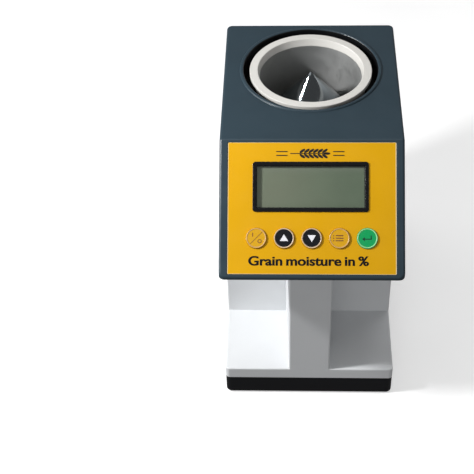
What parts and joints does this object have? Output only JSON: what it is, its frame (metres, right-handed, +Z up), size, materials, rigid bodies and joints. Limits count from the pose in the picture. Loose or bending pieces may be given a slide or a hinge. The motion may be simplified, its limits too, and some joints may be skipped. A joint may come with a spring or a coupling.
{
  "type": "grain moisture meter",
  "caption": "Bench grain moisture meter with a weighing sample cell in a round well, a sloping panel with a display and round keys, and open hand grips in its base.",
  "frame": {"origin": "on the table, under the middle of the meter's outline", "axes": "+Z up, +X to the user's right, the display faces -Y, where the user stands"},
  "size_m": [0.125, 0.2056, 0.207],
  "materials": {
    "housing_dark": "fine-grained moulded ABS, dark blue-grey",
    "housing_light": "fine-grained moulded ABS, light grey",
    "tray_black": "moulded ABS, black",
    "overlay_yellow": "satin printed polycarbonate sheet",
    "bezel_black": "gloss black frame",
    "lens_clear": "clear acrylic window",
    "lcd_screen": "grey-green reflective LCD",
    "board_green": "solder mask over glass epoxy",
    "component_black": "moulded component bodies",
    "key_yellow": "domed key, yellow",
    "key_black": "domed key, black",
    "key_green": "domed key, green",
    "collar_white": "moulded polyacetal, off-white",
    "cell_steel": "drawn stainless tube",
    "cone_steel": "turned and polished stainless",
    "insulator": "moulded insulating plastic",
    "carrier_aluminium": "milled aluminium",
    "screw_steel": "zinc-plated steel",
    "foot_rubber": "soft black rubber",
    "battery_wrap": "printed battery sleeve, plain",
    "contact_nickel": "nickel-plated spring steel",
    "socket_black": "moulded socket body"
  },
  "bodies": {
    "meter_body": {"upper_housing": "housing_dark", "front_overlay": "overlay_yellow", "display_bezel": "bezel_black", "display_lens": "lens_clear", "lcd_glass": "lcd_screen", "display_board": "board_green", "display_header": "component_black", "main_board": "board_green", "board_components": "component_black", "tact_switches": "component_black", "board_screws": "screw_steel", "lower_housing": "housing_light", "base_tray": "tray_black", "rubber_feet": "foot_rubber", "load_cell_post": "carrier_aluminium", "load_cell": "carrier_aluminium", "fixed_end_screws": "screw_steel", "battery_holder": "tray_black", "battery_cells": "battery_wrap", "battery_contacts": "contact_nickel", "hinge_pins": "screw_steel", "power_socket": "socket_black", "socket_nut": "contact_nickel", "case_screws": "screw_steel", "tray_screws": "screw_steel", "post_screws": "screw_steel"},
    "cell": {"cell_collar": "collar_white", "outer_electrode": "cell_steel", "inner_electrode": "cone_steel", "cell_base": "insulator", "temperature_probe": "cone_steel", "cell_carrier": "carrier_aluminium", "carrier_screws": "screw_steel", "electrode_screw": "screw_steel", "load_cell_spacer": "carrier_aluminium", "live_end_screws": "screw_steel"},
    "battery_door": {"battery_door": "housing_light"},
    "key_power": {"key_power": "key_yellow"},
    "key_up": {"key_up": "key_black"},
    "key_down": {"key_down": "key_black"},
    "key_select": {"key_select": "key_yellow"},
    "key_enter": {"key_enter": "key_green"}
  },
  "joints": [
    {"name": "cell_float", "type": "slide", "parent": "meter_body", "child": "cell", "axis": [0, 0, -1], "range_m": [0, 0.0005], "stiffness_N_per_m": 20000, "springref_m": -0.0004, "deforming": ["load_cell"]},
    {"name": "battery_door_hinge", "type": "hinge", "parent": "meter_body", "child": "battery_door", "pos_m": [0, 0.0998, 0.036], "axis": [-1, 0, 0], "range_deg": [0, 90]},
    {"name": "key_power_press", "type": "slide", "parent": "meter_body", "child": "key_power", "axis": [0, 0.6681, -0.7441], "range_m": [0, 0.0006], "stiffness_N_per_m": 900, "springref_m": -0.0005},
    {"name": "key_up_press", "type": "slide", "parent": "meter_body", "child": "key_up", "axis": [0, 0.6681, -0.7441], "range_m": [0, 0.0006], "stiffness_N_per_m": 900, "springref_m": -0.0005},
    {"name": "key_down_press", "type": "slide", "parent": "meter_body", "child": "key_down", "axis": [0, 0.6681, -0.7441], "range_m": [0, 0.0006], "stiffness_N_per_m": 900, "springref_m": -0.0005},
    {"name": "key_select_press", "type": "slide", "parent": "meter_body", "child": "key_select", "axis": [0, 0.6681, -0.7441], "range_m": [0, 0.0006], "stiffness_N_per_m": 900, "springref_m": -0.0005},
    {"name": "key_enter_press", "type": "slide", "parent": "meter_body", "child": "key_enter", "axis": [0, 0.6681, -0.7441], "range_m": [0, 0.0006], "stiffness_N_per_m": 900, "springref_m": -0.0005}
  ]
}
